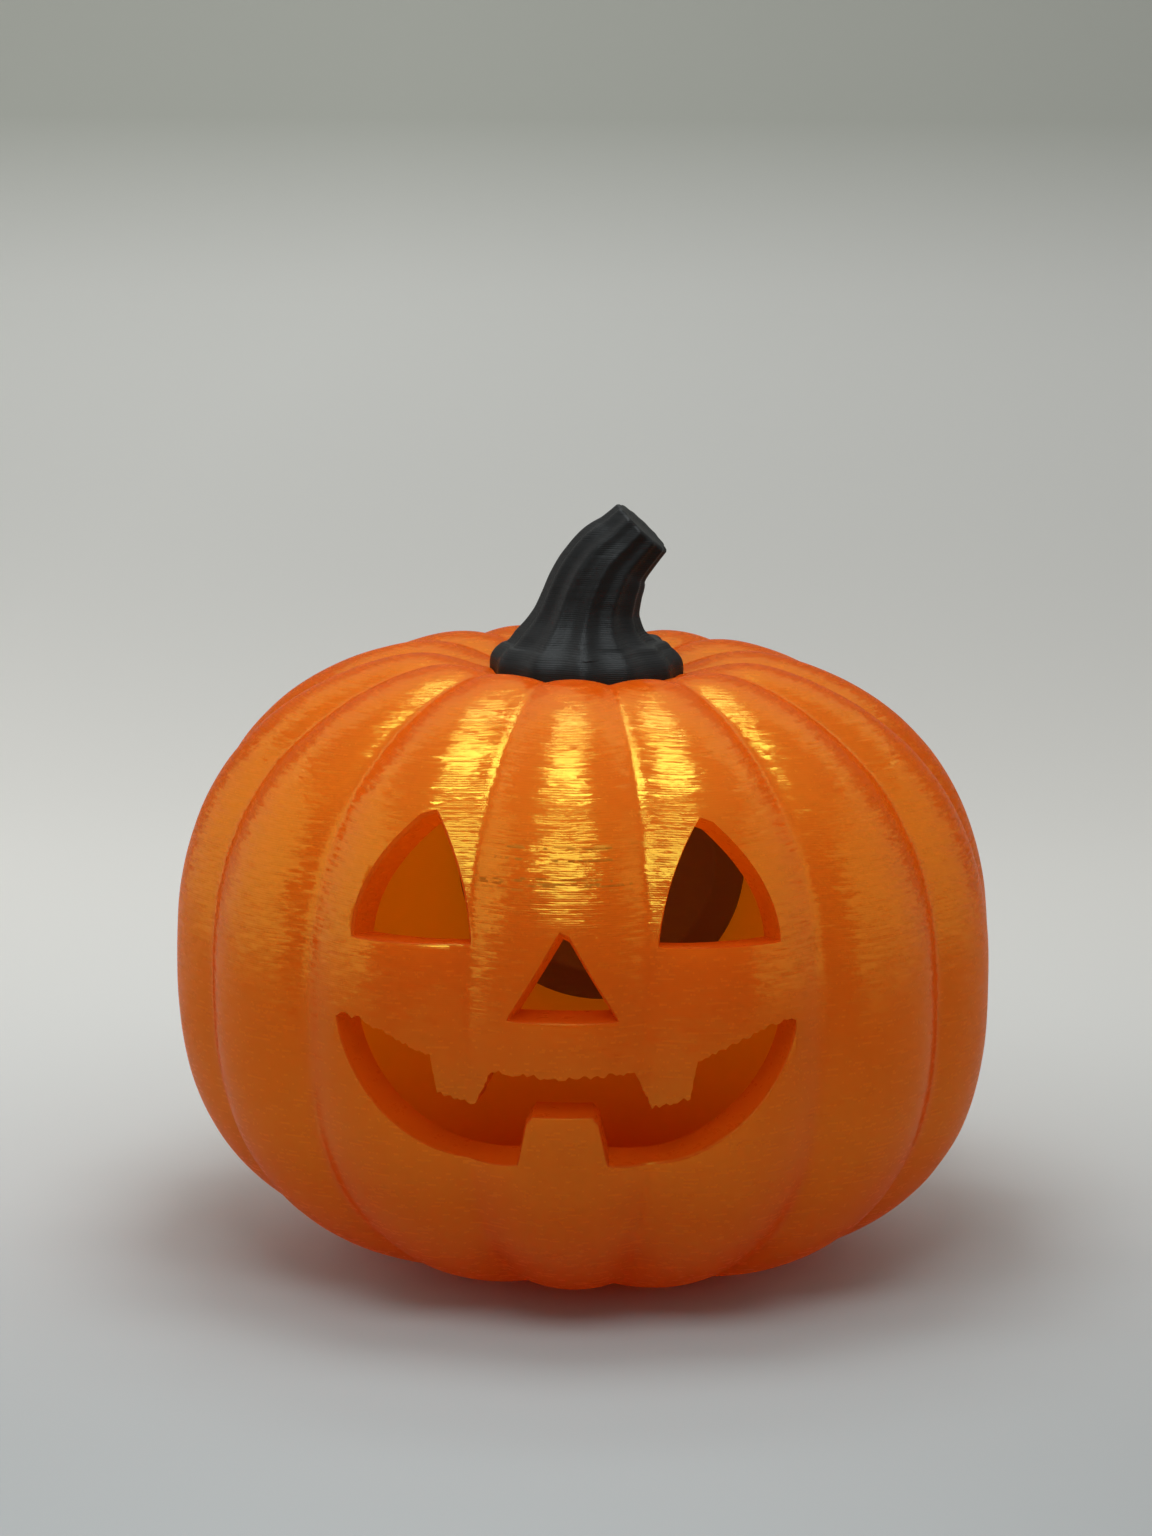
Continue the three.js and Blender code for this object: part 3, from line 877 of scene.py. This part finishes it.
sheet_material, sheet_tree, sheet_shader = new_material("pale sheet")
sheet_x, sheet_y, sheet_z = split(sheet_tree, object_place(sheet_tree))
off_darkest = calculate(sheet_tree, "ABSOLUTE", calculate(sheet_tree, "ADD", sheet_y, darkest_shade_front))
going_back = ramp(sheet_tree, off_darkest, front_to_back, interpolation_type="SMOOTHSTEP")
going_up = ramp(sheet_tree, sheet_z, floor_to_wall)
going_right = ramp(sheet_tree, sheet_x, shade_left_to_right)
floor_colour = mixed(sheet_tree, going_back, front_shade_tone, back_tone)
sheet_colour = mixed(sheet_tree, going_up, floor_colour, wall_shade_tone)
sheet_tree.links.new(scaled(sheet_tree, sheet_colour, going_right), sheet_shader.inputs["Base Color"])
set_inputs(sheet_shader, {"Roughness": 0.8, "Specular IOR Level": 0.2})
floor = new_object("floor", sheet, sheet_material)
floor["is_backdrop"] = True
print("sheet has", len(floor.data.polygons), "faces")

# %% [markdown]
# ## The light
# The lantern stands in a tent of soft light: a ceiling and two walls, the left one brighter. Three smaller
# lamps hang over the lantern and in front of it, and the ribs mirror them as the golden glints above the
# face. One more lamp is for the sheet far behind. The camera itself sees none of the lamps.

# %% Hang the lamps
def area_light(name, place, target, size, power, color):
    """A soft rectangular light that faces a target."""
    data = bpy.data.lights.new(name, "AREA")
    data.shape = "RECTANGLE"
    data.size, data.size_y = size
    data.energy = power
    data.color = color
    light = bpy.data.objects.new(name, data)
    aim = (Vector(target) - Vector(place)).to_track_quat("-Z", "Y")
    light.matrix_world = Matrix.Translation(place) @ aim.to_matrix().to_4x4()
    light.visible_camera = False
    bpy.context.scene.collection.objects.link(light)


# Each lamp has a name, a place to the right and to the back, a width, a depth and a power
lamp_height = 167 * MM
lamp_colour = (0.88, 0.97, 1)
lamps = (
    ("lamp above", -3 * MM, -25 * MM, 58 * MM, 46 * MM, 0.085),
    ("lamp behind", -4 * MM, 38 * MM, 50 * MM, 22 * MM, 0.03),
    ("lamp in front", 0, -148 * MM, 110 * MM, 96 * MM, 0.21),
)
for name, x, y, width, depth, power in lamps:
    area_light(name, (x, y, lamp_height), (x, y, 0), (width, depth), power, lamp_colour)

backdrop_y, backdrop_height, backdrop_size = 0.80, 0.75, (1.5, 0.8)
backdrop_place = (0, backdrop_y, backdrop_height)
area_light("backdrop lamp", backdrop_place, (0, backdrop_y, 0), backdrop_size, 3.4, (0.98, 1, 0.99))

tent_side, tent_height, tent_reach, tent_y = 0.32, 0.45, 0.5, 0.02
wall_middle, wall_aim, wall_size = 0.19, (0, tent_y, 0.17), (tent_reach, 0.36)
ceiling_size = (2 * tent_side, tent_reach)
area_light("ceiling", (0, tent_y, tent_height), (0, tent_y, 0), ceiling_size, 0.38, (1, 0.94, 0.87))
area_light("left wall", (-tent_side, tent_y, wall_middle), wall_aim, wall_size, 0.56, (1, 0.98, 0.96))
area_light("right wall", (tent_side, tent_y, wall_middle), wall_aim, wall_size, 0.36, (1, 0.95, 0.90))

# %% Tint the room
# The room gives little light, but looks paler than that from a camera that sees past the sheet
room_colour = (0.98, 1.0, 0.98, 1)
room_light, room_paler = 0.2, 0.3
world = bpy.data.worlds.new("room")
world.use_nodes = True
background = world.node_tree.nodes["Background"]
background.inputs["Color"].default_value = room_colour
for_camera = world.node_tree.nodes.new("ShaderNodeLightPath").outputs["Is Camera Ray"]
room_strength = calculate(world.node_tree, "MULTIPLY_ADD", for_camera, room_paler, room_light)
world.node_tree.links.new(room_strength, background.inputs["Strength"])
bpy.context.scene.world = world
bpy.context.scene.view_settings.view_transform = "Standard"
print("lights", sorted(light.name for light in bpy.data.lights))

# %% Finish
visual_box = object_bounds()
visual_size = visual_box[1] - visual_box[0]
print("visual size in mm", [round(side / MM, 2) for side in visual_size])
